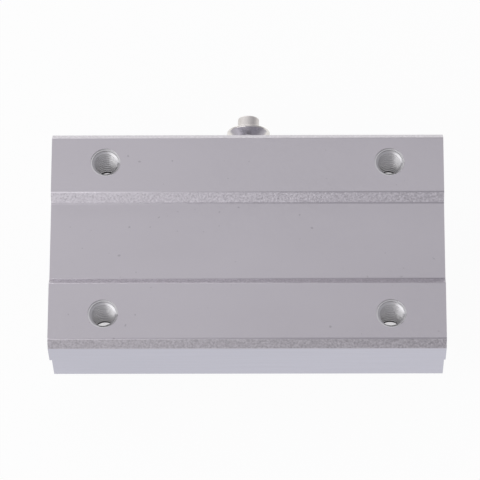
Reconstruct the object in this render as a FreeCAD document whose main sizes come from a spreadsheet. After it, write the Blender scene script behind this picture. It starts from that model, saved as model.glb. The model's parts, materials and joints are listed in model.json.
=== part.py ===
"""Long closed linear bearing block for an 8 mm shaft.

An extruded aluminium housing holds two ball bushings in one bore, with a spacer ring between
them and a retaining ring at each end. A grease nipple with a sprung check ball feeds the spacer.

X runs along the shaft, Z points out of the mounting face, and the nipple points along +Y.
The origin is on the shaft's axis, half way along the block. Millimetres.
"""
import FreeCAD, Part
import math
import os
import re
import Sketcher

SIZES = [
    # housing, an extruded profile cut to length
    ("block_length", 58.0),
    ("block_width", 34.0),
    ("block_height", 22.0),
    ("mount_height", 11.0),
    ("flange_depth", 6.0),
    ("body_width", 30.0),
    ("shoulder_height", 18.0),
    ("crown_width", 11.0),
    ("crown_foot_width", 18.0),
    ("body_bevel", 0.8),
    ("edge_run", 1.1),
    ("edge_drop", 1.4),
    ("recess_width", 14.4),
    ("recess_floor_width", 12.0),
    ("recess_depth", 1.4),
    ("crown_round", 0.6),
    # four tapped holes, each open to the shoulder behind it
    ("screw_spacing_long", 42.0),
    ("screw_spacing_wide", 24.0),
    ("thread_diameter", 4.0),
    ("thread_depth", 8.0),
    ("screw_mouth_diameter", 4.9),
    ("screw_mouth_angle", 90.0),
    ("screw_clearance_diameter", 3.4),
    # bore and what is stacked in it
    ("bore_gap", 0.02),
    ("bore_end_depth", 3.0),
    ("bore_mouth_bevel", 0.5),
    ("ring_slot_width", 1.1),
    ("ring_slot_diameter", 15.7),
    ("spacer_width", 4.0),
    ("spacer_inner_diameter", 9.6),
    ("spacer_groove_width", 2.4),
    ("spacer_groove_depth", 0.9),
    ("spacer_hole_diameter", 1.8),
    ("spacer_hole_count", 4.0),
    # bushing for the shaft
    ("shaft_diameter", 8.0),
    ("bushing_diameter", 15.0),
    ("sleeve_slot_inset", 3.25),
    ("sleeve_slot_width", 1.1),
    ("sleeve_slot_diameter", 14.3),
    ("sleeve_bevel", 0.4),
    ("ball_diameter", 1.588),
    ("ball_spacing", 1.66),
    ("ball_lift", 0.756),
    ("ball_running_gap", 0.05),
    ("circuit_count", 4.0),
    ("row_angle", 38.0),
    ("ramp_length", 1.2),
    ("cage_end_wall", 2.05),
    ("cage_bore_gap", 0.2),
    ("cage_outer_gap", 0.09),
    ("seal_width", 1.6),
    ("seal_inset", 0.2),
    ("seal_gap", 0.02),
    ("seal_lip_width", 0.5),
    ("seal_lip_depth", 0.9),
    # retaining ring for the bore
    ("ring_width", 1.0),
    ("ring_rim_gap", 0.04),
    ("ring_back", 2.0),
    ("ring_tip", 1.3),
    ("ring_mouth", 2.6),
    ("ring_lug_diameter", 3.0),
    ("ring_lug_reach", 4.7),
    ("ring_lug_trim", 0.3),
    ("ring_eye_diameter", 1.3),
    # grease nipple and the port it screws into
    ("nipple_thread_diameter", 6.0),
    ("nipple_thread_gap", 0.02),
    ("nipple_thread_length", 5.5),
    ("nipple_hole_slack", 0.5),
    ("nipple_hole_bevel", 0.3),
    ("grease_port_diameter", 2.5),
    ("hexagon_across_flats", 7.0),
    ("hexagon_length", 2.4),
    ("hexagon_bevel_angle", 35.0),
    ("nipple_neck_diameter", 4.4),
    ("nipple_neck_length", 2.8),
    ("nipple_head_diameter", 6.5),
    ("nipple_rim_width", 0.3),
    ("nipple_tip_diameter", 3.2),
    ("nipple_nose_length", 1.15),
    ("nipple_tip_length", 1.1),
    ("nipple_tip_bevel", 0.12),
    ("nipple_feed_diameter", 1.2),
    ("nipple_channel_diameter", 2.1),
    ("nipple_spring_seat", 2.0),
    ("nipple_mouth_diameter", 1.1),
    ("nipple_mouth_depth", 0.25),
    ("check_ball_diameter", 1.8),
    ("check_ball_gap", 0.03),
    ("spring_wire_diameter", 0.26),
    ("spring_diameter", 1.66),
    ("spring_pitch", 1.2),
    ("spring_end_gap", 0.06),
]
FUNCTIONS = {"sqrt", "sin", "cos", "tan"}

# a ball repeated many times is an icosahedron: two rings of five corners between two poles
BALL_SIDES = 5
BALL_RING_ANGLE = math.atan(0.5)

# lengths along the shaft, from the middle of the block
STACK_END = "(block_length / 2 - bore_end_depth)"
BUSHING_LENGTH = f"({STACK_END} - spacer_width / 2)"
BUSHING_MIDDLE = f"({STACK_END} + spacer_width / 2) / 2"

# radii in a bushing
BALL_RADIUS = "(ball_diameter / 2)"
SHAFT_RADIUS = "(shaft_diameter / 2)"
LOAD_RADIUS = "((shaft_diameter + ball_diameter) / 2)"
RETURN_RADIUS = "((shaft_diameter + ball_diameter) / 2 + ball_lift)"
RACEWAY_RADIUS = "(shaft_diameter / 2 + ball_diameter)"
CHANNEL_RADIUS = "(ball_diameter / 2 + ball_running_gap)"
CAGE_RADIUS = f"({RACEWAY_RADIUS} - cage_outer_gap)"
RELIEF_RADIUS = f"({RETURN_RADIUS} + {CHANNEL_RADIUS})"
TURN_RADIUS = f"({RETURN_RADIUS} * sin(row_angle / 2))"
TURN_HEIGHT = f"({RETURN_RADIUS} * cos(row_angle / 2))"

# lengths in a bushing
SLOT_END = f"({BUSHING_LENGTH} / 2 - sleeve_slot_inset)"
CAGE_LENGTH = f"({BUSHING_LENGTH} - 2 * (seal_width + seal_inset))"
ROW_LENGTH = f"({CAGE_LENGTH} - 2 * (cage_end_wall + {TURN_RADIUS} + {CHANNEL_RADIUS}))"
RACEWAY_LENGTH = f"({ROW_LENGTH} - 2 * ramp_length)"

# positions along the nipple, from the shaft's axis
NIPPLE_SEAT = "(body_width / 2)"
NIPPLE_END = f"({NIPPLE_SEAT} - nipple_thread_length)"
HEXAGON_END = f"({NIPPLE_SEAT} + hexagon_length)"
NECK_END = f"({HEXAGON_END} + nipple_neck_length)"
RIM_START = f"({NECK_END} + (nipple_head_diameter - nipple_neck_diameter) / 2)"
RIM_END = f"({RIM_START} + nipple_rim_width)"
NOSE_END = f"({RIM_END} + nipple_nose_length)"
TIP_END = f"({NOSE_END} + nipple_tip_length)"
SPRING_SEAT = f"({NIPPLE_SEAT} + nipple_spring_seat)"
BALL_SEAT_END = f"({TIP_END} - nipple_mouth_depth)"
BALL_SEAT_START = f"({BALL_SEAT_END} - (nipple_channel_diameter - nipple_mouth_diameter) / 2)"
CHECK_BALL_PLACE = (
    f"({BALL_SEAT_START} + nipple_channel_diameter / 2"
    " - sqrt(2) * (check_ball_diameter / 2 + check_ball_gap))"
)
SPRING_END = f"({CHECK_BALL_PLACE} - check_ball_diameter / 2 - spring_end_gap)"

doc = FreeCAD.newDocument("linear_bearing_block")
sheet = doc.addObject("Spreadsheet::Sheet", "Sizes")
for row, (alias, number) in enumerate(SIZES, start=1):
    sheet.set(f"A{row}", alias)
    sheet.set(f"B{row}", str(number))
    sheet.setAlias(f"B{row}", alias)
doc.recompute()


def linked(formula):
    """The formula with each size's name pointing at its cell in the sheet."""
    def link(match):
        word = match.group()
        return word if word in FUNCTIONS else "Sizes." + word
    return re.sub(r"[a-z][a-z_]+", link, formula)


def value(formula):
    return float(sheet.evalExpression(linked(formula)))


def bind(target, path, formula):
    target.setExpression(path, linked(formula))


def origin_part(body, role):
    """A plane or an axis of the body's own origin."""
    return next(feature for feature in body.Origin.OriginFeatures if feature.Role == role)


def new_body(label, x_place="0"):
    body = doc.addObject("PartDesign::Body", label)
    body.Label = label
    if x_place != "0":
        bind(body, "Placement.Base.x", x_place)
    return body


def new_sketch(body, name, plane, offset="0", turn="0"):
    """A sketch on one of the body's origin planes, moved along its normal and turned about it."""
    sketch = body.newObject("Sketcher::SketchObject", f"{body.Name}_{name}")
    sketch.AttachmentSupport = [(origin_part(body, plane), "")]
    sketch.MapMode = "FlatFace"
    if offset != "0":
        bind(sketch, "AttachmentOffset.Base.z", offset)
    if turn != "0":
        sketch.AttachmentOffset = FreeCAD.Placement(
            FreeCAD.Vector(), FreeCAD.Rotation(FreeCAD.Vector(0, 0, 1), value(turn)))
        bind(sketch, "AttachmentOffset.Rotation.Angle", turn)
    return sketch


def fix_point(sketch, geometry, point, across, up):
    """Hold a point of the sketch at two distances from the sketch's origin."""
    for kind, axis, formula in (("DistanceX", -2, across), ("DistanceY", -1, up)):
        if formula == "0":
            sketch.addConstraint(Sketcher.Constraint("PointOnObject", geometry, point, axis))
            continue
        index = sketch.addConstraint(
            Sketcher.Constraint(kind, -1, 1, geometry, point, value(formula)))
        bind(sketch, f"Constraints[{index}]", formula)


def add_outline(sketch, corners):
    """A closed outline of straight lines through corners given as pairs of formulas."""
    points = [FreeCAD.Vector(value(across), value(up), 0) for across, up in corners]
    first = sketch.GeometryCount
    count = len(points)
    for index, point in enumerate(points):
        sketch.addGeometry(Part.LineSegment(point, points[(index + 1) % count]), False)
    for index in range(count):
        following = first + (index + 1) % count
        sketch.addConstraint(Sketcher.Constraint("Coincident", first + index, 2, following, 1))
    for index, (across, up) in enumerate(corners):
        fix_point(sketch, first + index, 1, across, up)


def add_circle(sketch, across, up, radius):
    centre = FreeCAD.Vector(value(across), value(up), 0)
    circle = sketch.addGeometry(
        Part.Circle(centre, FreeCAD.Vector(0, 0, 1), value(radius)), False)
    fix_point(sketch, circle, 3, across, up)
    index = sketch.addConstraint(Sketcher.Constraint("Radius", circle, value(radius)))
    bind(sketch, f"Constraints[{index}]", radius)


def add_slot(sketch, foot, top, half_width):
    """A slot about the sketch's upright axis: a half circle at its foot and a flat top."""
    low, high, side = value(foot), value(top), value(half_width)
    centre = FreeCAD.Vector(0, low, 0)
    arc = sketch.addGeometry(Part.ArcOfCircle(
        Part.Circle(centre, FreeCAD.Vector(0, 0, 1), side), math.pi, 2 * math.pi), False)
    right = sketch.addGeometry(Part.LineSegment(
        FreeCAD.Vector(side, low, 0), FreeCAD.Vector(side, high, 0)), False)
    across = sketch.addGeometry(Part.LineSegment(
        FreeCAD.Vector(side, high, 0), FreeCAD.Vector(-side, high, 0)), False)
    left = sketch.addGeometry(Part.LineSegment(
        FreeCAD.Vector(-side, high, 0), FreeCAD.Vector(-side, low, 0)), False)
    fix_point(sketch, arc, 3, "0", foot)
    for end, line, start in ((2, right, 1), (1, left, 2)):
        sketch.addConstraint(Sketcher.Constraint("Coincident", arc, end, line, start))
    sketch.addConstraint(Sketcher.Constraint("Coincident", right, 2, across, 1))
    sketch.addConstraint(Sketcher.Constraint("Coincident", across, 2, left, 1))
    sketch.addConstraint(Sketcher.Constraint("Horizontal", across))
    sketch.addConstraint(Sketcher.Constraint("Vertical", left))
    sketch.addConstraint(Sketcher.Constraint("Horizontal", arc, 1, arc, 3))
    fix_point(sketch, right, 1, half_width, foot)
    fix_point(sketch, right, 2, half_width, top)


def add_half_ring(sketch, across, inner, outer):
    """Half a flat ring about a point on the sketch's X axis, on the side away from the origin."""
    place = value(across)
    start = -math.pi / 2 if place > 0 else math.pi / 2
    centre = FreeCAD.Vector(place, 0, 0)
    arcs = []
    for radius in (inner, outer):
        circle = Part.Circle(centre, FreeCAD.Vector(0, 0, 1), value(radius))
        arc = sketch.addGeometry(Part.ArcOfCircle(circle, start, start + math.pi), False)
        fix_point(sketch, arc, 3, across, "0")
        index = sketch.addConstraint(Sketcher.Constraint("Radius", arc, value(radius)))
        bind(sketch, f"Constraints[{index}]", radius)
        for end in (1, 2):
            sketch.addConstraint(Sketcher.Constraint("Vertical", arc, end, arc, 3))
        arcs.append(arc)
    for end in (1, 2):
        side = sketch.addGeometry(Part.LineSegment(
            sketch.getPoint(arcs[0], end), sketch.getPoint(arcs[1], end)), False)
        for line_end, arc in zip((1, 2), arcs):
            sketch.addConstraint(Sketcher.Constraint("Coincident", side, line_end, arc, end))


def both_sides(corners):
    """Corners on the positive side, followed back by their mirror images."""
    return corners + [(f"-({across})", up) for across, up in reversed(corners)]


def turn_profile(body, kind, name, plane, axis, corners):
    """Turn an outline about one of the origin's axes, to add material or to cut it."""
    sketch = new_sketch(body, f"{name}_profile", plane)
    add_outline(sketch, corners)
    feature = body.newObject(f"PartDesign::{kind}", f"{body.Name}_{name}")
    feature.Profile = sketch
    feature.ReferenceAxis = (origin_part(body, axis), [""])
    feature.Angle = 360
    return feature


def extrude(body, kind, name, sketch, length=None, both_ways=True):
    """A pad or a pocket of a sketch, through everything if no length is given."""
    feature = body.newObject(f"PartDesign::{kind}", f"{body.Name}_{name}")
    feature.Profile = sketch
    if length is None:
        feature.Type = "ThroughAll"
    else:
        bind(feature, "Length", length)
    if both_ways:
        feature.SideType = "Symmetric"
    return feature


def pattern_about_shaft(body, name, features, count):
    pattern = body.newObject("PartDesign::PolarPattern", f"{body.Name}_{name}")
    pattern.Originals = features
    pattern.Axis = (origin_part(body, "X_Axis"), [""])
    pattern.Angle = 360
    bind(pattern, "Occurrences", count)
    body.Tip = pattern
    return pattern


def make_housing():
    body = new_body("housing")
    section = new_sketch(body, "section", "YZ_Plane")
    add_outline(section, both_sides([
        ("recess_floor_width / 2", "mount_height - recess_depth"),
        ("recess_width / 2", "mount_height"),
        ("block_width / 2 - edge_run", "mount_height"),
        ("block_width / 2", "mount_height - edge_drop"),
        ("block_width / 2", "mount_height - flange_depth"),
        ("body_width / 2", "mount_height - flange_depth"),
        ("body_width / 2", "mount_height - shoulder_height + body_bevel"),
        ("body_width / 2 - body_bevel", "mount_height - shoulder_height"),
        ("crown_foot_width / 2", "mount_height - shoulder_height"),
        ("crown_width / 2", "mount_height - block_height"),
    ]))
    profile = extrude(body, "Pad", "extrusion", section, "block_length")
    doc.recompute()

    # the crown's two long edges are rounded, as the die leaves them
    crown_level = value("mount_height - block_height")
    crown_edges = [
        f"Edge{number}" for number, edge in enumerate(profile.Shape.Edges, start=1)
        if edge.BoundBox.ZMax < crown_level + 0.01 and edge.BoundBox.XLength > 1
    ]
    rounding = body.newObject("PartDesign::Fillet", "housing_crown_rounding")
    rounding.Base = (profile, crown_edges)
    bind(rounding, "Radius", "crown_round")

    turn_profile(body, "Groove", "bore", "XY_Plane", "X_Axis", both_sides([
        (STACK_END, "bushing_diameter / 2 + bore_gap"),
        (STACK_END, "ring_slot_diameter / 2"),
        (f"{STACK_END} + ring_slot_width", "ring_slot_diameter / 2"),
        (f"{STACK_END} + ring_slot_width", "bushing_diameter / 2 + bore_gap"),
        ("block_length / 2 - bore_mouth_bevel", "bushing_diameter / 2 + bore_gap"),
        ("block_length / 2", "bushing_diameter / 2 + bore_gap + bore_mouth_bevel"),
        ("block_length / 2", "0"),
    ]))

    places = [(f"{x} * screw_spacing_long / 2", f"{y} * screw_spacing_wide / 2")
              for x in (-1, 1) for y in (-1, 1)]
    mouths = new_sketch(body, "screw_places", "XY_Plane", "mount_height")
    shafts = new_sketch(body, "screw_shafts", "XY_Plane", "mount_height - thread_depth")
    for across, up in places:
        add_circle(mouths, across, up, "thread_diameter / 2")
        add_circle(shafts, across, up, "screw_clearance_diameter / 2")
    doc.recompute()
    tapped = body.newObject("PartDesign::Hole", "housing_tapped_holes")
    tapped.Profile = mouths
    tapped.ThreadType = "None"
    tapped.DepthType = "Dimension"
    tapped.DrillPoint = "Flat"
    tapped.HoleCutType = "Countersink"
    tapped.HoleCutCustomValues = True
    bind(tapped, "Diameter", "thread_diameter")
    bind(tapped, "Depth", "thread_depth")
    bind(tapped, "HoleCutDiameter", "screw_mouth_diameter")
    bind(tapped, "HoleCutCountersinkAngle", "screw_mouth_angle")
    extrude(body, "Pocket", "screw_clearance", shafts, both_ways=False)

    hole_radius = "(nipple_thread_diameter / 2 + nipple_thread_gap)"
    hole_end = f"({NIPPLE_END} - nipple_hole_slack)"
    turn_profile(body, "Groove", "nipple_hole", "XY_Plane", "Y_Axis", [
        ("0", "0"),
        ("grease_port_diameter / 2", "0"),
        ("grease_port_diameter / 2", hole_end),
        (hole_radius, hole_end),
        (hole_radius, f"{NIPPLE_SEAT} - nipple_hole_bevel"),
        (f"{hole_radius} + nipple_hole_bevel", NIPPLE_SEAT),
        ("0", NIPPLE_SEAT),
    ])
    return body


def make_spacer():
    body = new_body("spacer_ring")
    groove = "bushing_diameter / 2 - spacer_groove_depth"
    turn_profile(body, "Revolution", "ring", "XY_Plane", "X_Axis", both_sides([
        ("spacer_groove_width / 2", groove),
        ("spacer_groove_width / 2", "bushing_diameter / 2"),
        ("spacer_width / 2", "bushing_diameter / 2"),
        ("spacer_width / 2", "spacer_inner_diameter / 2"),
    ]))
    hole = new_sketch(body, "grease_hole_section", "XY_Plane")
    add_circle(hole, "0", "0", "spacer_hole_diameter / 2")
    drilled = extrude(body, "Pocket", "grease_hole", hole, both_ways=False)
    pattern_about_shaft(body, "grease_holes", [drilled], "spacer_hole_count")
    return body


def make_retaining_ring(label, place):
    body = new_body(label, place)
    rim = "(ring_slot_diameter / 2 - ring_rim_gap)"
    inner = f"({rim} - (ring_back + ring_tip) / 2)"
    lug_place = "(ring_lug_reach + ring_lug_diameter / 2)"
    lug_side = "((ring_mouth + ring_lug_diameter) / 2 - ring_lug_trim)"
    lug_drop = f"-sqrt({lug_place} ^ 2 - {lug_side} ^ 2)"

    section = new_sketch(body, "section", "YZ_Plane")
    add_circle(section, "0", "0", rim)
    add_circle(section, "0", "(ring_tip - ring_back) / 2", inner)
    extrude(body, "Pad", "plate", section, "ring_width")
    lugs = new_sketch(body, "lug_section", "YZ_Plane")
    eyes = new_sketch(body, "eye_section", "YZ_Plane")
    for sign in ("-", ""):
        add_circle(lugs, sign + lug_side, lug_drop, "ring_lug_diameter / 2")
        add_circle(eyes, sign + lug_side, lug_drop, "ring_eye_diameter / 2")
    extrude(body, "Pad", "lugs", lugs, "ring_width")
    extrude(body, "Pocket", "eyes", eyes)
    mouth = new_sketch(body, "mouth_section", "YZ_Plane")
    add_outline(mouth, both_sides([
        ("ring_mouth / 2", "-ring_lug_reach / 2"),
        ("ring_mouth / 2", "-ring_slot_diameter"),
    ]))
    extrude(body, "Pocket", "mouth", mouth)
    return body


def make_sleeve(label, place):
    """Hardened sleeve: a raceway land with return grooves across it, and a wider bore beyond."""
    body = new_body(label, place)
    outer = "bushing_diameter / 2"
    turn_profile(body, "Revolution", "shell", "XY_Plane", "X_Axis", both_sides([
        (f"{RACEWAY_LENGTH} / 2", RACEWAY_RADIUS),
        (f"{RACEWAY_LENGTH} / 2", RELIEF_RADIUS),
        (f"{BUSHING_LENGTH} / 2", RELIEF_RADIUS),
        (f"{BUSHING_LENGTH} / 2", f"{outer} - sleeve_bevel"),
        (f"{BUSHING_LENGTH} / 2 - sleeve_bevel", outer),
        (SLOT_END, outer),
        (SLOT_END, "sleeve_slot_diameter / 2"),
        (f"{SLOT_END} - sleeve_slot_width", "sleeve_slot_diameter / 2"),
        (f"{SLOT_END} - sleeve_slot_width", outer),
    ]))
    section = new_sketch(body, "return_section", "YZ_Plane", turn="-row_angle / 2")
    add_circle(section, "0", RETURN_RADIUS, CHANNEL_RADIUS)
    groove = extrude(body, "Pocket", "return_groove", section, RACEWAY_LENGTH)
    pattern_about_shaft(body, "return_grooves", [groove], "circuit_count")
    return body


def make_cage(label, place):
    """Moulded cage: in each circuit a loaded row open to the shaft, a return row and two turns."""
    body = new_body(label, place)
    turn_profile(body, "Revolution", "tube", "XY_Plane", "X_Axis", both_sides([
        (f"{CAGE_LENGTH} / 2", CAGE_RADIUS),
        (f"{CAGE_LENGTH} / 2", f"{SHAFT_RADIUS} + cage_bore_gap"),
    ]))
    load = new_sketch(body, "load_section", "YZ_Plane", turn="row_angle / 2")
    add_slot(load, LOAD_RADIUS, "bushing_diameter / 2", CHANNEL_RADIUS)
    back = new_sketch(body, "return_section", "YZ_Plane", turn="-row_angle / 2")
    add_slot(back, RETURN_RADIUS, "bushing_diameter / 2", CHANNEL_RADIUS)
    features = [
        extrude(body, "Pocket", "load_slot", load, ROW_LENGTH),
        extrude(body, "Pocket", "return_slot", back, ROW_LENGTH),
    ]
    for name, sign in (("front_turn", ""), ("back_turn", "-")):
        section = new_sketch(body, f"{name}_section", "XY_Plane",
                             offset=f"{TURN_HEIGHT} - {CHANNEL_RADIUS}")
        add_half_ring(section, f"{sign}{ROW_LENGTH} / 2", f"{TURN_RADIUS} - {CHANNEL_RADIUS}",
                      f"{TURN_RADIUS} + {CHANNEL_RADIUS}")
        turn = extrude(body, "Pocket", name, section, both_ways=False)
        turn.Reversed = True
        features.append(turn)
    pattern_about_shaft(body, "circuits", features, "circuit_count")
    return body


def make_seal(label, place):
    """Rubber end seal: a ring pressed into the sleeve, with a lip that wipes the shaft."""
    body = new_body(label, place)
    turn_profile(body, "Revolution", "ring", "XY_Plane", "X_Axis", both_sides([
        ("seal_width / 2", f"{RELIEF_RADIUS} - seal_gap"),
        ("seal_width / 2", f"{SHAFT_RADIUS} + seal_lip_depth"),
        ("seal_lip_width / 2", SHAFT_RADIUS),
    ]))
    return body


def ball_shell(radius):
    """A ball of twenty flat facets with its corners on the sphere, light enough to repeat."""
    step = 2 * math.pi / BALL_SIDES
    flat, rise = radius * math.cos(BALL_RING_ANGLE), radius * math.sin(BALL_RING_ANGLE)
    lower = [FreeCAD.Vector(flat * math.cos(side * step), flat * math.sin(side * step), -rise)
             for side in range(BALL_SIDES)]
    upper = [FreeCAD.Vector(flat * math.cos((side + 0.5) * step),
                            flat * math.sin((side + 0.5) * step), rise)
             for side in range(BALL_SIDES)]
    bottom, top = FreeCAD.Vector(0, 0, -radius), FreeCAD.Vector(0, 0, radius)
    faces = []
    for side in range(BALL_SIDES):
        after = (side + 1) % BALL_SIDES
        faces.append([bottom, lower[after], lower[side]])
        faces.append([lower[side], lower[after], upper[side]])
        faces.append([lower[after], upper[after], upper[side]])
        faces.append([top, upper[side], upper[after]])
    shell = Part.makeShell([Part.Face(Part.makePolygon(face + face[:1])) for face in faces])
    return Part.makeSolid(shell)


def circuit_places(turn):
    """Centres of one circuit's balls: down the loaded row, round, back along the return row."""
    row = value(ROW_LENGTH)
    half_angle = math.radians(value("row_angle") / 2)
    load_radius = value(LOAD_RADIUS)
    lift = value("ball_lift")
    side = value(TURN_RADIUS)
    height = value(TURN_HEIGHT)
    loop = 2 * row + 2 * math.pi * side
    count = int(loop / value("ball_spacing"))
    ramp = value("ramp_length")
    places = []
    for number in range(count):
        along = (number + 0.5) * loop / count
        if along < row:
            x = along - row / 2
            beyond = max(0.0, abs(x) - (row / 2 - ramp))
            radius = load_radius + lift * (beyond / ramp) ** 2
            y, z = -radius * math.sin(half_angle), radius * math.cos(half_angle)
        elif along < row + math.pi * side:
            angle = (along - row) / side
            x, y, z = row / 2 + side * math.sin(angle), -side * math.cos(angle), height
        elif along < 2 * row + math.pi * side:
            x, y, z = row / 2 - (along - row - math.pi * side), side, height
        else:
            angle = (along - 2 * row - math.pi * side) / side
            x, y, z = -row / 2 - side * math.sin(angle), side * math.cos(angle), height
        cosine, sine = math.cos(turn), math.sin(turn)
        places.append(FreeCAD.Vector(x, y * cosine - z * sine, y * sine + z * cosine))
    return places


def make_balls(label, place, circuit):
    ball = ball_shell(value(BALL_RADIUS))
    turn = 2 * math.pi * circuit / value("circuit_count")
    balls = []
    for centre in circuit_places(turn):
        placed = ball.copy()
        placed.translate(centre)
        balls.append(placed)
    group = doc.addObject("Part::Feature", label)
    group.Label = label
    group.Shape = Part.makeCompound(balls)
    bind(group, "Placement.Base.x", place)
    return group


def make_nipple():
    body = new_body("grease_nipple")
    thread = "nipple_thread_diameter / 2"
    neck = "nipple_neck_diameter / 2"
    head = "nipple_head_diameter / 2"
    tip = "nipple_tip_diameter / 2"
    turn_profile(body, "Revolution", "stem", "XY_Plane", "Y_Axis", [
        ("0", NIPPLE_END),
        (thread, NIPPLE_END),
        (thread, HEXAGON_END),
        (neck, HEXAGON_END),
        (neck, NECK_END),
        (head, RIM_START),
        (head, RIM_END),
        (tip, NOSE_END),
        (tip, f"{TIP_END} - nipple_tip_bevel"),
        (f"{tip} - nipple_tip_bevel", TIP_END),
        ("0", TIP_END),
    ])
    hexagon = new_sketch(body, "hexagon_section", "XZ_Plane", offset=f"-{NIPPLE_SEAT}")
    corner = "hexagon_across_flats / 2 / cos(30)"
    add_outline(hexagon, [(f"{corner} * cos({60 * side})", f"{corner} * sin({60 * side})")
                          for side in range(6)])
    pad = extrude(body, "Pad", "hexagon", hexagon, "hexagon_length", both_ways=False)
    pad.Reversed = True
    reach = "hexagon_across_flats"
    turn_profile(body, "Groove", "hexagon_bevel", "XY_Plane", "Y_Axis", [
        ("hexagon_across_flats / 2", HEXAGON_END),
        (reach, HEXAGON_END),
        (reach, f"{HEXAGON_END} - tan(hexagon_bevel_angle) * hexagon_across_flats / 2"),
    ])
    channel = "nipple_channel_diameter / 2"
    turn_profile(body, "Groove", "channel", "XY_Plane", "Y_Axis", [
        ("0", NIPPLE_END),
        ("nipple_feed_diameter / 2", NIPPLE_END),
        ("nipple_feed_diameter / 2", SPRING_SEAT),
        (channel, SPRING_SEAT),
        (channel, BALL_SEAT_START),
        ("nipple_mouth_diameter / 2", BALL_SEAT_END),
        ("nipple_mouth_diameter / 2", TIP_END),
        ("0", TIP_END),
    ])
    return body


def make_check_ball():
    ball = doc.addObject("Part::Sphere", "nipple_check_ball")
    ball.Label = "nipple_check_ball"
    bind(ball, "Radius", "check_ball_diameter / 2")
    bind(ball, "Placement.Base.y", CHECK_BALL_PLACE)
    return ball


def make_spring():
    body = new_body("nipple_spring")
    section = new_sketch(body, "wire_section", "XY_Plane")
    wire = "(spring_wire_diameter / 2)"
    first_coil = f"({SPRING_SEAT} + spring_wire_diameter / 2)"
    middle = "(spring_diameter / 2 - spring_wire_diameter / 2)"
    add_outline(section, [(f"{middle} + {wire} * cos({90 * side})",
                           f"{first_coil} + {wire} * sin({90 * side})") for side in range(4)])
    doc.recompute()
    coil = body.newObject("PartDesign::AdditiveHelix", "nipple_spring_coil")
    coil.Profile = section
    coil.ReferenceAxis = (origin_part(body, "Y_Axis"), [""])
    coil.Mode = "pitch-height-angle"
    bind(coil, "Pitch", "spring_pitch")
    bind(coil, "Height", f"{SPRING_END} - {SPRING_SEAT} - spring_wire_diameter")
    return body


def make_parts():
    parts = [make_housing(), make_spacer()]
    for side, sign in (("left", "-"), ("right", "")):
        middle = f"{sign}{BUSHING_MIDDLE}"
        seal_step = f"({CAGE_LENGTH} + seal_width) / 2"
        parts.append(make_sleeve(f"{side}_sleeve", middle))
        parts.append(make_cage(f"{side}_ball_cage", middle))
        for circuit in range(int(value("circuit_count"))):
            parts.append(make_balls(f"{side}_balls_{circuit + 1}", middle, circuit))
        parts.append(make_seal(f"{side}_outer_seal", f"{sign}({BUSHING_MIDDLE} + {seal_step})"))
        parts.append(make_seal(f"{side}_inner_seal", f"{sign}({BUSHING_MIDDLE} - {seal_step})"))
        parts.append(make_retaining_ring(
            f"{side}_retaining_ring", f"{sign}({STACK_END} + ring_width / 2)"))
    parts += [make_nipple(), make_check_ball(), make_spring()]
    return parts


def check_document(parts):
    for item in doc.Objects:
        if {"Invalid", "Error"} & set(item.State):
            raise RuntimeError(f"{item.Name} failed: {item.State}")
    cuts = ("PartDesign::Pocket", "PartDesign::Groove", "PartDesign::Hole")
    for item in doc.Objects:
        if item.TypeId in cuts and item.Shape.Volume >= item.BaseFeature.Shape.Volume:
            raise RuntimeError(f"{item.Name} cuts nothing")
    for part in parts:
        if part.Shape.isNull() or not part.Shape.isValid() or not part.Shape.Solids:
            raise RuntimeError(f"{part.Label} has no sound shape")


all_parts = make_parts()
doc.recompute()
check_document(all_parts)
os.makedirs("parts", exist_ok=True)
for part in all_parts:
    part.Shape.exportStep(f"parts/{part.Label}.step")
    print(f"{part.Label}: {len(part.Shape.Solids)} solid(s), {part.Shape.Volume:.2f} mm3")
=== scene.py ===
# %% [markdown]
# # A linear bearing block
# The block is an aluminium housing with four tapped holes in its mounting face. Two ball bushings
# for an 8 mm shaft sit in its bore, and a grease nipple stands on one long side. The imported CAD
# model is loaded first as a fixed frame, in metres: X runs along the shaft and Z points out of the
# mounting face. Everything made below takes its place from that frame.

# %% Load the frame
import json
import math

import bmesh
import bpy
from mathutils import Matrix, Vector


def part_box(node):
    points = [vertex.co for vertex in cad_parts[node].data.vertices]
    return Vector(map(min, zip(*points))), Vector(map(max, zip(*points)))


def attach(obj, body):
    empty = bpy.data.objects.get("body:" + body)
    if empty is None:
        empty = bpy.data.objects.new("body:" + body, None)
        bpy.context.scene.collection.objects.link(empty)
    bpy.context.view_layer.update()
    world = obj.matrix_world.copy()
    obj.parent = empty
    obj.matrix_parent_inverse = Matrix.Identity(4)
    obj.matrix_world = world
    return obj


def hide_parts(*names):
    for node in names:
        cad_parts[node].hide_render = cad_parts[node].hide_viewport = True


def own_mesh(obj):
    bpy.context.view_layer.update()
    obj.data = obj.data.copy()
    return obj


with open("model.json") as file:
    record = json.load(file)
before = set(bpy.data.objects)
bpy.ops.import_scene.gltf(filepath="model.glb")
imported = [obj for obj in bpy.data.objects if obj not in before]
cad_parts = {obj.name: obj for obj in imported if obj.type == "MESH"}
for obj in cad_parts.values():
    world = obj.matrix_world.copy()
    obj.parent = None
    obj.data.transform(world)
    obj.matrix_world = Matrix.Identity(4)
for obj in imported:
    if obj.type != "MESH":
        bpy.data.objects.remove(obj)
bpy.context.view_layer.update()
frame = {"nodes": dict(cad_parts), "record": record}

# %% [markdown]
# ## Sizes that the frame gives
# A millimetre is the unit that a machinist thinks in, so sizes are written as a number times `mm`.
# The record says where the four holes are, and the boxes of the nodes say where the rest is. Only
# sizes that no box shows, such as the depth of a thread, are written here.

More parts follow.
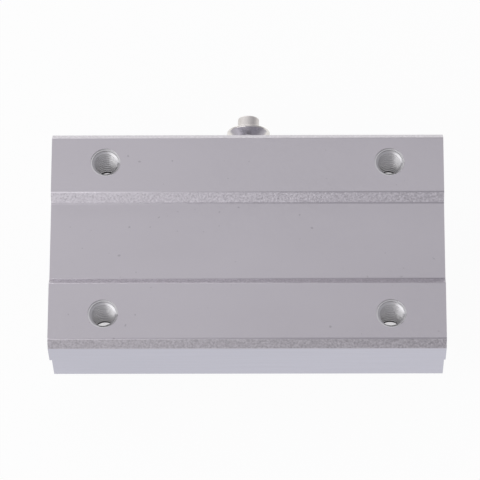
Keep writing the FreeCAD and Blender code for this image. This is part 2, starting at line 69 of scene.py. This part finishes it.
# %% Read places from the frame
mm = 0.001
housing_low, housing_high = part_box("housing")
mounts = {mount["name"]: mount for mount in frame["record"]["mounts"]}
hole_sizes = mounts["mounting_holes"]["dims"]
hole_spacing = (hole_sizes["spacing_x_mm"] * mm, hole_sizes["spacing_y_mm"] * mm)
thread_radius = hole_sizes["hole_r_mm"] * mm
print("block in mm:", [round(size / mm, 2) for size in housing_high - housing_low])

# %% [markdown]
# ## Camera
# The block is looked at steeply from above, a little in front of its near long side, from more
# than half a metre away. The long lens keeps the edges almost parallel, as a catalogue shows a small
# part. The camera is turned a touch, and rolled back by as much, so that the edges stay level.

# %% Place the camera
camera_tilt = math.radians(22.30)
camera_turn = math.radians(2.03)
camera_roll = math.radians(-1.99)
camera_distance = 575 * mm
camera_aim = Vector((-1.2, 3.47, 1.44)) * mm
sensor_width = 36.0      # both in millimetres, as Blender's camera takes them
lens_length = 288.8
nearest_seen = 10 * mm

camera = bpy.data.objects.new("camera", bpy.data.cameras.new("camera"))
camera.data.sensor_width = sensor_width
camera.data.lens = lens_length
camera.data.clip_start = nearest_seen
turned = (Matrix.Rotation(camera_turn, 4, "Z") @ Matrix.Rotation(camera_tilt, 4, "X")
          @ Matrix.Rotation(camera_roll, 4, "Z"))
back = turned.to_3x3() @ Vector((0, 0, 1))
camera.matrix_world = Matrix.Translation(camera_aim + back * camera_distance) @ turned
bpy.context.scene.collection.objects.link(camera)
bpy.context.scene.camera = camera
bpy.context.scene.view_settings.view_transform = "Standard"
print("camera at", [round(place / mm) for place in camera.matrix_world.translation], "mm")

# %% [markdown]
# ## One function for nodes, one for colours
# A material is a tree of nodes. `add` makes any node: its settings are the node's own choices, and
# its inputs are plain values or the outputs of other nodes. Colours are written as the sRGB hex
# values that a painter would pick, and `linear` turns them into the light values Cycles works with.

# %% Node and colour helpers
def add(tree, kind, inputs=None, **settings):
    """A node of that kind, with its settings set and its inputs given values or links."""
    node = tree.nodes.new("ShaderNode" + kind)
    for name, setting in settings.items():
        setattr(node, name, setting)
    for name, source in (inputs or {}).items():
        if isinstance(source, bpy.types.NodeSocket):
            tree.links.new(source, node.inputs[name])
        else:
            node.inputs[name].default_value = source
    return node


def linear(hex_colour):
    """The linear colour, with an alpha of 1, of an sRGB colour such as C0FFEE."""
    channels = [int(hex_colour[place:place + 2], 16) / 255 for place in (0, 2, 4)]
    lit = [c / 12.92 if c <= 0.04045 else ((c + 0.055) / 1.055) ** 2.4 for c in channels]
    return (*lit, 1.0)


print("aluminium grey is", [round(channel, 3) for channel in linear("C9C6CB")])

# %% [markdown]
# ## Stage: floor, lamps and room
# The block lies on a plain white floor with its mounting face up. The floor shines white to the
# camera and to mirrors, and is an ordinary white floor to everything else, so a soft shadow stays.
# Soft lamps stand round it, most of them to the left, as a window would. The low ones reach the
# slopes, the walls of the holes and the nipple, and the one overhead gives the mounting face its
# slow fall from left to right. A pale room fills in the rest.

# %% Build the stage
def white_floor():
    """A white floor that shines to the camera and to mirrors and keeps a faint shadow."""
    material = bpy.data.materials.new("white_floor")
    material.use_nodes = True
    tree = material.node_tree
    shader = tree.nodes["Principled BSDF"]
    shader.inputs["Base Color"].default_value = linear("F2F2F2")
    shader.inputs["Roughness"].default_value = floor_roughness
    path = add(tree, "LightPath").outputs
    seen = add(tree, "Math", {0: path["Is Camera Ray"], 1: path["Is Glossy Ray"]},
               operation="MAXIMUM")
    seen = add(tree, "Math", {0: seen.outputs[0], 1: path["Is Transmission Ray"]},
               operation="MAXIMUM")
    share = add(tree, "Math", {0: seen.outputs[0], 1: glow_share}, operation="MULTIPLY")
    glow = add(tree, "Emission", {"Color": linear("FFFFFF"), "Strength": 1.0})
    mixed = add(tree, "MixShader", {0: share.outputs[0], 1: shader.outputs["BSDF"],
                                    2: glow.outputs["Emission"]})
    tree.links.new(mixed.outputs["Shader"], tree.nodes["Material Output"].inputs["Surface"])
    return material


glow_share = 0.95
floor_roughness = 0.9
floor_half = 1500 * mm
floor_mesh = bpy.data.meshes.new("floor")
floor_shape = bmesh.new()
bmesh.ops.create_grid(floor_shape, x_segments=1, y_segments=1, size=floor_half,
                      matrix=Matrix.Translation((0, 0, housing_low.z)))
floor_shape.to_mesh(floor_mesh)
floor_shape.free()
floor_mesh.materials.append(white_floor())
floor = bpy.data.objects.new("floor", floor_mesh)
bpy.context.scene.collection.objects.link(floor)


def soft_lamp(name, place, width, height, radiance):
    """An area lamp that faces the block; its power is what gives its face that radiance."""
    lamp = bpy.data.objects.new(name, bpy.data.lights.new(name, "AREA"))
    lamp.data.shape = "RECTANGLE"
    lamp.data.size = width
    lamp.data.size_y = height
    lamp.data.energy = radiance * math.pi * width * height
    lamp.location = place
    lamp.rotation_euler = (-Vector(place)).to_track_quat("-Z", "Y").to_euler()
    bpy.context.scene.collection.objects.link(lamp)


soft_lamp("low_left_lamp", (-0.36, -0.22, 0.13), width=0.44, height=0.24, radiance=0.3)
soft_lamp("left_lamp", (-0.30, -0.14, 0.33), width=0.38, height=0.38, radiance=1.1)
soft_lamp("front_lamp", (-0.11, -0.265, 0.12), width=0.24, height=0.15, radiance=0.85)
soft_lamp("overhead_lamp", (-0.14, 0.26, 0.61), width=0.60, height=0.45, radiance=0.45)
soft_lamp("back_lamp", (-0.19, 0.36, 0.10), width=0.50, height=0.20, radiance=1.1)
world = bpy.data.worlds.new("pale_room")
world.use_nodes = True
world.node_tree.nodes["Background"].inputs["Color"].default_value = linear("ADACB1")
world.node_tree.nodes["Background"].inputs["Strength"].default_value = 1.0
bpy.context.scene.world = world
print("stage: a floor at", round(housing_low.z / mm, 1), "mm and five lamps")

# %% [markdown]
# ## Patterns in real sizes
# Every finish below starts from a noise whose lumps have a real size. Object coordinates are in
# metres here, so a grain of 0.3 mm is a scale of 1 / 0.0003. Stretching the noise along one axis
# turns lumps into lines, which is what a die or a cutter leaves. A finish lets the noise move three
# things a little: its colour, its roughness, and its relief.

# %% Grain and finish helpers
FACTOR, FIRST, SECOND, MIXED = 0, 6, 7, 2   # the colour sockets of a Mix node, by their place
noise_range = {"From Min": 0.3, "From Max": 0.7}   # nearly all of a noise lies between these


def grain(tree, size, stretch=(1, 1, 1), detail=2.0):
    """Noise whose lumps are about that size, drawn out along an axis by stretch."""
    place = add(tree, "TexCoord")
    scaled = add(tree, "Mapping", {"Vector": place.outputs["Object"],
                                   "Scale": [1 / longer for longer in stretch]})
    return add(tree, "TexNoise", {"Vector": scaled.outputs["Vector"], "Scale": 1 / size,
                                  "Detail": detail}).outputs["Fac"]


def grained_finish(name, metallic, size, colours, roughness, relief, stretch=(1, 1, 1), detail=2.0):
    """A material whose colour, roughness and relief follow one grain; returns it with its parts."""
    material = bpy.data.materials.new(name)
    material.use_nodes = True
    tree = material.node_tree
    shader = tree.nodes["Principled BSDF"]
    shader.inputs["Metallic"].default_value = metallic
    lumps = grain(tree, size, stretch, detail)
    share = add(tree, "MapRange", {"Value": lumps, **noise_range})
    base = add(tree, "Mix", {FACTOR: share.outputs["Result"], FIRST: linear(colours[0]),
                             SECOND: linear(colours[1])}, data_type="RGBA")
    polish = add(tree, "MapRange", {"Value": lumps, **noise_range,
                                    "To Min": roughness[0], "To Max": roughness[1]})
    raised = add(tree, "Bump", {"Height": lumps, "Distance": relief})
    tree.links.new(base.outputs[MIXED], shader.inputs["Base Color"])
    tree.links.new(polish.outputs["Result"], shader.inputs["Roughness"])
    tree.links.new(raised.outputs["Normal"], shader.inputs["Normal"])
    return material, tree, shader, base.outputs[MIXED]


print("a grain of 0.3 mm is a noise scale of", round(1 / (0.3 * mm)))

# %% [markdown]
# ## Aluminium, six ways
# The housing is one extruded 6000-series alloy, clear anodised, and each tool has left its own
# skin. The faces that the cutter milled flat are satin, with a few dull specks and slow clouds. The
# sloped faces keep a coarse skin that sparkles. The slopes of the recess are painted lighter than
# the alloy, as painted light, and the one along the front edge is painted darker, as painted shade.
# The sides came smooth from the die, with lines along the block. The ends are sawn and skimmed
# across. Tapped walls have rings round the hole and are painted pale, a painted highlight, and the
# drilled walls below them are nearly mirrors, painted paler still as a painted highlight. Anodised
# aluminium has a base colour near C9C6CB, a metallic of 1 and a roughness of 0.3 to 0.5. Real pits
# and die lines are a few hundredths of a millimetre wide, too fine to show, so they are drawn at
# 0.15 to 0.35 mm.

# %% Make the aluminium
def milled_aluminium():
    """Clear anodised aluminium, milled: satin, with a fine grain, slow clouds and dull specks."""
    material, tree, shader, base = grained_finish(
        "anodised_aluminium_milled", 1.0, 0.35 * mm, ("CDC9CE", "D0CCD1"), (0.38, 0.46),
        0.004 * mm, detail=3)
    cloud = add(tree, "MapRange", {"Value": grain(tree, 14 * mm, stretch=(2, 1, 1)),
                                   **noise_range})
    clouded = add(tree, "Mix", {FACTOR: cloud.outputs["Result"], FIRST: base,
                                SECOND: linear("CBC7CC")}, data_type="RGBA")
    speck = add(tree, "MapRange", {"Value": grain(tree, 0.9 * mm, detail=1),
                                   "From Min": 0.75, "From Max": 0.80})
    specked = add(tree, "Mix", {FACTOR: speck.outputs["Result"],
                                FIRST: clouded.outputs[MIXED], SECOND: linear("B9B5BA")},
                  data_type="RGBA")
    tree.links.new(specked.outputs[MIXED], shader.inputs["Base Color"])
    return material


def blasted_aluminium(place, colours):
    """The same alloy with a coarse blasted skin: rough, with bright and dark flecks, in colours that
    paint light or shade by place.
    """
    return grained_finish("anodised_aluminium_blasted_" + place, 1.0, 0.30 * mm, colours,
                          (0.30, 0.44), 0.04 * mm, detail=3)[0]


def drawn_aluminium():
    """The same alloy as the die leaves it: smoother, with faint lines along the block."""
    return grained_finish("anodised_aluminium_drawn", 1.0, 0.18 * mm, ("BAB9C5", "C3C2CE"),
                          (0.28, 0.36), 0.004 * mm, stretch=(60, 1, 1))[0]


def sawn_aluminium():
    """The same alloy, sawn and skimmed: satin, with short parallel lines across the block."""
    return grained_finish("anodised_aluminium_sawn", 1.0, 0.22 * mm, ("BEBABF", "CFCBD0"),
                          (0.34, 0.46), 0.008 * mm, stretch=(1, 25, 1))[0]


def cut_aluminium_painted_pale():
    """The same alloy where a tool bored or tapped it, with rings down the wall, painted pale as a
    painted highlight.
    """
    return grained_finish("anodised_aluminium_cut_painted_pale", 1.0, 0.15 * mm, ("D3D2D3", "E2E1E2"),
                          (0.32, 0.42), 0.008 * mm, stretch=(20, 20, 1))[0]


def drilled_aluminium_painted_pale():
    """The same alloy under the threads: the lands of the drill left a nearly smooth wall, painted
    paler still as a painted highlight.
    """
    return grained_finish("anodised_aluminium_drilled_painted_pale", 1.0, 0.15 * mm, ("E2E1E2", "EAE9EA"),
                          (0.08, 0.16), 0.001 * mm, stretch=(20, 20, 1))[0]


# The recess copy of the blasted skin is painted lighter than the alloy, as painted light, and the
# front-edge copy darker, as painted shade.
aluminium = [milled_aluminium(), blasted_aluminium("recess", ("BFBBC0", "E7E3E8")),
             blasted_aluminium("edge", ("A6A2A7", "CAC6CB")), drawn_aluminium(),
             sawn_aluminium(), cut_aluminium_painted_pale(), drilled_aluminium_painted_pale()]
MILLED, BLASTED_PAINTED_LIGHT, FRONT_BLASTED_PAINTED_SHADE, DRAWN, SAWN, CUT_PAINTED_PALE, DRILLED_PAINTED_PALE = range(len(aluminium))
print("aluminium finishes:", [finish.name for finish in aluminium])

# %% [markdown]
# ## Housing
# The frame's housing has the right shape, but its edges are razor sharp. A copy of it is merged
# and its flat faces are joined again. Long edges and the outlines of the ends get the small round
# that tumbling and anodising leave. The mouths of the four holes keep the countersink's crisp edge.
# Each face then takes the finish of the tool that made it.

# %% Copy and finish helpers
weld = 0.001 * mm           # corners closer than this are one
flat_turn = math.radians(0.5)
same_plane = 0.002          # how far the normals of one plane may differ


def merged_copy(node):
    """A bmesh of a node's mesh, with its loose triangles merged and its flat faces joined."""
    shape = bmesh.new()
    shape.from_mesh(frame["nodes"][node].data)
    bmesh.ops.remove_doubles(shape, verts=shape.verts, dist=weld)
    bmesh.ops.dissolve_limit(shape, angle_limit=flat_turn, verts=shape.verts,
                             edges=shape.edges)
    shape.normal_update()
    return shape


def finished(name, shape, materials, body, replaces=(), smooth_angle=30, planes=()):
    """The bmesh as an object at the origin that rides on a body, smooth except on those planes."""
    mesh = bpy.data.meshes.new(name)
    shape.to_mesh(mesh)
    shape.free()
    if "custom_normal" in mesh.attributes:
        mesh.attributes.remove(mesh.attributes["custom_normal"])
    mesh.set_sharp_from_angle(angle=math.radians(smooth_angle))
    for face in mesh.polygons:
        face.use_smooth = not any((face.normal - plane).length < same_plane for plane in planes)
    for material in materials:
        mesh.materials.append(material)
    piece = bpy.data.objects.new(name, mesh)
    bpy.context.scene.collection.objects.link(piece)
    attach(piece, body)
    if replaces:
        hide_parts(*replaces)
    print(f"{name}: {len(mesh.polygons)} faces")
    return piece


def turn_angle(edge):
    """How far the surface turns at an edge, in degrees."""
    return math.degrees(edge.calc_face_angle(0.0))


print("the housing of the frame has", len(frame["nodes"]["housing"].data.polygons), "faces")

# %% [markdown]
# The countersinks are made first: the ring of corners round each mouth moves in, and the ring at
# the foot of its cone moves up by as much, which keeps the cone at 45 degrees. Then the edges are
# picked by what they are: a long edge spans nearly the whole block, and an end edge lies in one
# end. The bevel tool rounds each kind by its own amount.

# %% Round the housing's edges
hole_places = [Vector((x, y, housing_high.z)) for x in (-hole_spacing[0] / 2, hole_spacing[0] / 2)
               for y in (-hole_spacing[1] / 2, hole_spacing[1] / 2)]
mouth_radius = 2.22 * mm
cone_depth = mouth_radius - thread_radius
mouth_reach = 2.6 * mm      # takes in the ring of corners round a mouth
foot_reach = 1.0 * mm       # and, this far down, the ring at the foot of its cone
same_place = 0.01 * mm
flat_face = 60 * mm * mm    # the faces of the rounds and holes are all smaller
long_share = 0.9
sharp_turn = 20             # degrees


def near_hole(place, reach):
    """Whether a place lies within that reach of the axis of one of the four holes."""
    return any((place - hole).to_2d().length < reach for hole in hole_places)


def is_long(edge):
    """Whether an edge runs along nearly the whole block."""
    return edge.calc_length() > long_share * (housing_high.x - housing_low.x)


def is_at_end(edge):
    """Whether an edge lies in one of the block's ends."""
    return all(abs(abs(vert.co.x) - housing_high.x) < same_place for vert in edge.verts)


block = merged_copy("housing")
planes = [face.normal.copy() for face in block.faces if face.calc_area() > flat_face]
for vert in block.verts:
    for hole in hole_places:
        across, depth = (vert.co - hole).to_2d(), hole.z - vert.co.z
        if across.length < mouth_reach and abs(depth) < same_place:
            across *= mouth_radius / across.length
            vert.co.x, vert.co.y = hole.x + across.x, hole.y + across.y
        elif across.length < mouth_reach and depth < foot_reach:
            vert.co.z = hole.z - cone_depth
block.normal_update()
for kind, wanted, width, segments in (("long", is_long, 0.12 * mm, 3),
                                      ("end", is_at_end, 0.08 * mm, 2)):
    edges = [edge for edge in block.edges if turn_angle(edge) > sharp_turn and wanted(edge)]
    bmesh.ops.bevel(block, geom=edges, offset=width, offset_type="OFFSET", segments=segments,
                    profile=0.5, affect="EDGES", material=-1, clamp_overlap=True)
    print("rounded", len(edges), kind, "edges by", width / mm, "mm")
block.normal_update()

# %% [markdown]
# Now each face gets the finish of its tool. Walls near a hole's axis, in the shaft's bore or in the
# nipple's hole were cut last, and under the end of a thread they were only drilled. The ends face
# along X, the sides face along Y, and the slopes face between up and sideways.

# %% Choose each face's finish
bore_reach = 8.0 * mm
nipple_hole_reach = 3.4 * mm
recess_reach = 10 * mm
tap_depth = 8.0 * mm
tap_end = housing_high.z - tap_depth + 0.1 * mm   # just above the last thread's ledge
straight = 0.9              # the part of a normal that faces straight along an axis
sloped = 0.3                # and the part that is enough for a slope


def finish_of(face):
    """The finish of the tool that made this face of the housing."""
    centre, normal = face.calc_center_median(), face.normal
    in_bore = math.hypot(centre.y, centre.z) < bore_reach and abs(normal.x) < straight
    in_nipple_hole = (math.hypot(centre.x, centre.z) < nipple_hole_reach
                      and abs(normal.y) < straight)
    if near_hole(centre, mouth_radius) and centre.z < tap_end:
        return DRILLED_PAINTED_PALE
    if in_bore or in_nipple_hole or near_hole(centre, mouth_radius):
        return CUT_PAINTED_PALE
    if abs(normal.x) > straight:
        return SAWN
    if face.calc_area() > flat_face and normal.z > sloped and abs(normal.y) > sloped:
        # The front slope takes the copy painted darker as shade, and the other slopes take the copy
        # painted lighter as light.
        return FRONT_BLASTED_PAINTED_SHADE if centre.y < -recess_reach else BLASTED_PAINTED_LIGHT
    if abs(normal.y) > straight or normal.z < -sloped:
        return DRAWN
    return MILLED


for face in block.faces:
    face.material_index = finish_of(face)
finished("housing_block", block, aluminium, "block",
         replaces=["housing"], planes=planes)

# %% [markdown]
# ## Threads in the four holes
# A tapped hole is a drilled hole with a groove wound round it, so what stands between the grooves
# is a ridge. The frame's holes have the thread's outer diameter. One section of the ridge is spun
# round the hole's axis and moved down by the pitch each turn, which leaves a real helix. The
# countersink has cut into its first turn, so points there move out to the countersink's cone.

# %% Cut the threads
def wind(shape, section, centre, axis, pitch, turns, steps_per_turn=48):
    """Spin a section round an axis and along it by the pitch each turn; returns its last place."""
    return bmesh.ops.spin(shape, geom=section, cent=centre, axis=axis,
                          dvec=Vector(axis) * (pitch / steps_per_turn),
                          angle=2 * math.pi * turns, steps=round(turns * steps_per_turn),
                          use_merge=False, use_normal_flip=False, use_duplicate=False)["geom_last"]


def wound_ridge(corners, centre, axis, pitch, turns):
    """A closed helical ridge with that section."""
    shape = bmesh.new()
    face = shape.faces.new([shape.verts.new(corner) for corner in corners])
    wind(shape, [face, *face.edges, *face.verts], centre, axis, pitch, turns)
    bmesh.ops.recalc_face_normals(shape, faces=shape.faces)
    return shape


tap_pitch = 0.7 * mm
crest_radius = 1.67 * mm
crest_half = 0.09 * mm
root_half = 0.29 * mm
buried = 0.05 * mm          # how far the ridge's root lies in the wall, so that no gap shows
inside_cone = 0.02 * mm     # and how far a trimmed point lies in the cone
first_depth = root_half + buried
tap_turns = (tap_depth - first_depth - root_half) / tap_pitch
for number, hole in enumerate(hole_places, start=1):
    section = [hole + Vector((across, 0, up - first_depth)) for across, up in (
        (thread_radius + buried, root_half), (crest_radius, crest_half),
        (crest_radius, -crest_half), (thread_radius + buried, -root_half))]
    ridge = wound_ridge(section, hole, (0, 0, -1), tap_pitch, tap_turns)
    for vert in ridge.verts:
        across, depth = (vert.co - hole).to_2d(), hole.z - vert.co.z
        cone_radius = mouth_radius - depth + (inside_cone if depth < cone_depth else 0)
        if across.length < cone_radius:
            across *= cone_radius / across.length
            vert.co.x, vert.co.y = hole.x + across.x, hole.y + across.y
    finished(f"tapped_thread_{number}", ridge, [aluminium[CUT_PAINTED_PALE]], "block",
             smooth_angle=25)

# %% [markdown]
# ## Steel, rubber and plastic
# The nipple is turned steel with a bright nickel plate, worn satin at the tip, where the grease
# gun's jaws grip it. The balls are lapped bearing steel and the sleeves ground bearing steel. Rings
# and spring are spring steel with a dark phosphate coat, seals are nitrile rubber, and the cages
# are moulded acetal.

# %% Make the other materials
worn_from, worn_to = 22.0 * mm, 22.6 * mm   # along Y, where the nose meets the tip
new_roughness, worn_roughness = 0.25, 0.55


def plated_steel():
    """Nickel plate on turned steel: bright, with faint turning rings, and satin at the tip."""
    material = bpy.data.materials.new("nickel_plated_steel")
    material.use_nodes = True
    tree = material.node_tree
    shader = tree.nodes["Principled BSDF"]
    shader.inputs["Metallic"].default_value = 1.0
    share = add(tree, "MapRange", {"Value": grain(tree, 1.2 * mm), **noise_range})
    tint = add(tree, "Mix", {FACTOR: share.outputs["Result"], FIRST: linear("E2DEDA"),
                             SECOND: linear("EBE7E3")}, data_type="RGBA")
    place = add(tree, "SeparateXYZ", {0: add(tree, "TexCoord").outputs["Object"]})
    worn = add(tree, "MapRange", {"Value": place.outputs["Y"], "From Min": worn_from,
                                  "From Max": worn_to, "To Min": new_roughness,
                                  "To Max": worn_roughness})
    rings = add(tree, "Bump", {"Height": grain(tree, 0.12 * mm, stretch=(30, 1, 30)),
                               "Distance": 0.002 * mm})
    tree.links.new(tint.outputs[MIXED], shader.inputs["Base Color"])
    tree.links.new(worn.outputs["Result"], shader.inputs["Roughness"])
    tree.links.new(rings.outputs["Normal"], shader.inputs["Normal"])
    return material


plate = plated_steel()
lapped = grained_finish("lapped_bearing_steel", 1.0, 0.8 * mm, ("C6C6CA", "D4D4D6"),
                        (0.05, 0.13), 0.0)[0]
ground = grained_finish("ground_bearing_steel", 1.0, 0.10 * mm, ("A2A2A8", "B4B4BA"),
                        (0.24, 0.36), 0.003 * mm, stretch=(1, 40, 40))[0]
phosphate = grained_finish("phosphated_spring_steel", 0.8, 0.6 * mm, ("34333A", "4E4C52"),
                           (0.40, 0.58), 0.01 * mm, detail=3)[0]
rubber = grained_finish("nitrile_rubber", 0.0, 0.25 * mm, ("161618", "222225"),
                        (0.60, 0.80), 0.012 * mm)[0]
acetal = grained_finish("moulded_acetal", 0.0, 0.4 * mm, ("1E1E20", "2A2A2C"),
                        (0.38, 0.52), 0.006 * mm)[0]
acetal_ior = 1.48
acetal.node_tree.nodes["Principled BSDF"].inputs["IOR"].default_value = acetal_ior
print("other finishes:", [finish.name for finish in (plate, lapped, ground, phosphate, rubber,
                                                     acetal)])

# %% [markdown]
# ## Grease nipple
# A nipple is turned from bar with a hexagon left on it for the spanner. So its outline is drawn
# once, from the thread to the tip and back down the hollow middle, and its corners are rounded as a
# lathe tool's nose leaves them. Then the outline is spun. The hexagon is part of the same outline:
# after the spin its round belt is pushed out to six flats, and its upper corners sink as a
# chamfering tool would cut them.

# %% Turn the nipple
nipple_low, nipple_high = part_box("grease_nipple")
spring_low, spring_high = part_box("nipple_spring")
flat_half = nipple_high.z
seat = 15.0 * mm            # where the hexagon rests on the block's side
hexagon_middle = 16.0 * mm
belt_end = 17.2 * mm
hexagon_end = 17.4 * mm
chamfer_angle = math.radians(35)
chamfer_gap = 0.02 * mm     # keeps the chamfer's lowest point off the flats' middle
stem_steps = 96
thread_core, thread_crest = 2.50 * mm, 2.98 * mm
neck, rim, tip = 2.20 * mm, 3.25 * mm, 1.60 * mm
mouth, channel, grease_hole = 0.55 * mm, 1.05 * mm, 0.60 * mm
stem = bmesh.new()
outline = (   # radius, place along Y, and rounding of each corner
    (grease_hole, nipple_low.y, 0.05 * mm), (2.30 * mm, nipple_low.y, 0),
    (thread_core, 9.75 * mm, 0), (thread_core, 14.2 * mm, 0), (thread_crest, 14.5 * mm, 0),
    (thread_crest, seat, 0), (flat_half, seat, 0), (flat_half, belt_end, 0),
    (3.44 * mm, hexagon_end, 0), (neck, hexagon_end, 0.15 * mm), (neck, 20.20 * mm, 0.30 * mm),
    (rim, 21.25 * mm, 0.12 * mm), (rim, 21.55 * mm, 0.12 * mm), (tip, 22.15 * mm, 0.15 * mm),
    (tip, nipple_high.y, 0.22 * mm), (mouth, nipple_high.y, 0.08 * mm), (mouth, 23.55 * mm, 0),
    (channel, 23.05 * mm, 0), (channel, spring_low.y, 0), (grease_hole, spring_low.y, 0))
corners = [stem.verts.new((radius, along, 0)) for radius, along, rounding in outline]
stem.faces.new(corners)
for amount in sorted({rounding for *place, rounding in outline} - {0}):
    chosen = [corner for corner, (*place, rounding) in zip(corners, outline) if rounding == amount]
    bmesh.ops.bevel(stem, geom=chosen, offset=amount, offset_type="OFFSET", segments=4,
                    profile=0.5, affect="VERTICES", material=-1, clamp_overlap=True)
bmesh.ops.delete(stem, geom=stem.faces[:], context="FACES_ONLY")
bmesh.ops.spin(stem, geom=[*stem.edges, *stem.verts], cent=(0, 0, 0), axis=(0, 1, 0),
               dvec=(0, 0, 0), angle=2 * math.pi, steps=stem_steps, use_merge=True,
               use_normal_flip=False, use_duplicate=False)
bmesh.ops.remove_doubles(stem, verts=stem.verts, dist=0.5 * weld)
for vert in stem.verts:
    radius = math.hypot(vert.co.x, vert.co.z)
    if abs(radius - flat_half) < weld:
        turn = math.degrees(math.atan2(vert.co.z, vert.co.x)) % 60
        reach = flat_half / math.cos(math.radians(turn - 30))
        if vert.co.y > hexagon_middle:
            vert.co.y = hexagon_end - math.tan(chamfer_angle) * (reach - flat_half + chamfer_gap)
        vert.co.x *= reach / radius
        vert.co.z *= reach / radius
bmesh.ops.recalc_face_normals(stem, faces=stem.faces)
finished("nipple_body", stem, [plate], "block", replaces=["grease_nipple"])

nipple_pitch = 1.0 * mm
nipple_ridge = wound_ridge(
    [(thread_core - buried, 10.62 * mm, 0), (thread_crest, 10.31 * mm, 0),
     (thread_crest, 10.19 * mm, 0), (thread_core - buried, 9.88 * mm, 0)],
    (0, 0, 0), (0, 1, 0), nipple_pitch, turns=3.6)
finished("nipple_thread", nipple_ridge, [plate], "block", smooth_angle=25)

# %% [markdown]
# ## Spring under the check ball
# The spring is wound from round wire, with one closed turn at each end to press flat. A circle is
# spun three times in a row: a tight turn, the open turns, and a tight turn again.

# %% Wind the spring
wire_radius = 0.13 * mm
coil_radius = spring_high.z - wire_radius
open_turns = 3
spring_height = spring_high.y - spring_low.y
closed_height = 3 * 2 * wire_radius   # two closed turns and the wire's own thickness
open_pitch = (spring_height - closed_height) / open_turns
spring = bmesh.new()
circle = bmesh.ops.create_circle(
    spring, cap_ends=True, segments=10, radius=wire_radius,
    matrix=Matrix.Translation((coil_radius, spring_low.y + wire_radius, 0)))["verts"]
section = [*circle, *spring.edges, *spring.faces]
for pitch, turns in ((2 * wire_radius, 1), (open_pitch, open_turns), (2 * wire_radius, 1)):
    section = wind(spring, section, (0, 0, 0), (0, 1, 0), pitch, turns, steps_per_turn=36)
bmesh.ops.recalc_face_normals(spring, faces=spring.faces)
coil = finished("wound_spring", spring, [phosphate], "block",
                replaces=["nipple_spring"])
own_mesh(coil)

# %% [markdown]
# ## Finishes on the frame's own pieces
# Sleeves, spacer, cages, seals and rings have the right shape already, so they stay, and only
# their material is changed. Giving an object's material slot another material leaves its mesh as
# it is.

# %% Assign materials to the frame's pieces
def dress(material, *endings):
    """Give the material to every frame node whose name ends like one of these."""
    dressed = [node for name, node in frame["nodes"].items() if name.endswith(endings)]
    for node in dressed:
        for slot in node.material_slots:
            slot.material = material
    print(material.name, "on", len(dressed), "pieces")


dress(ground, "_sleeve", "spacer_ring")
dress(acetal, "_ball_cage")
dress(rubber, "_seal")
dress(phosphate, "_retaining_ring")
dress(lapped, "nipple_check_ball")

# %% [markdown]
# ## Balls
# The frame's balls are twenty-sided to keep it light. Each loose lump of the merged mesh is one
# ball, so its middle and its corners give the place and the radius of a real sphere.

# %% Round the balls
def loose_lumps(shape):
    """The vertices of each connected lump of a bmesh, always in the same order."""
    seen = set()
    for start in shape.verts:
        lump, waiting = [], [start]
        while waiting:
            vert = waiting.pop()
            if vert in seen:
                continue
            seen.add(vert)
            lump.append(vert)
            waiting += [edge.other_vert(vert) for edge in vert.link_edges]
        if lump:
            yield lump


for node in sorted(name for name in frame["nodes"] if "_balls_" in name):
    lumps = merged_copy(node)
    balls = bmesh.new()
    for lump in loose_lumps(lumps):
        centre = sum((vert.co for vert in lump), Vector()) / len(lump)
        radius = max((vert.co - centre).length for vert in lump)
        bmesh.ops.create_icosphere(balls, subdivisions=3, radius=radius,
                                   matrix=Matrix.Translation(centre))
    lumps.free()
    finished(node.replace("balls", "round_balls"), balls, [lapped], "block",
             replaces=[node], smooth_angle=180)
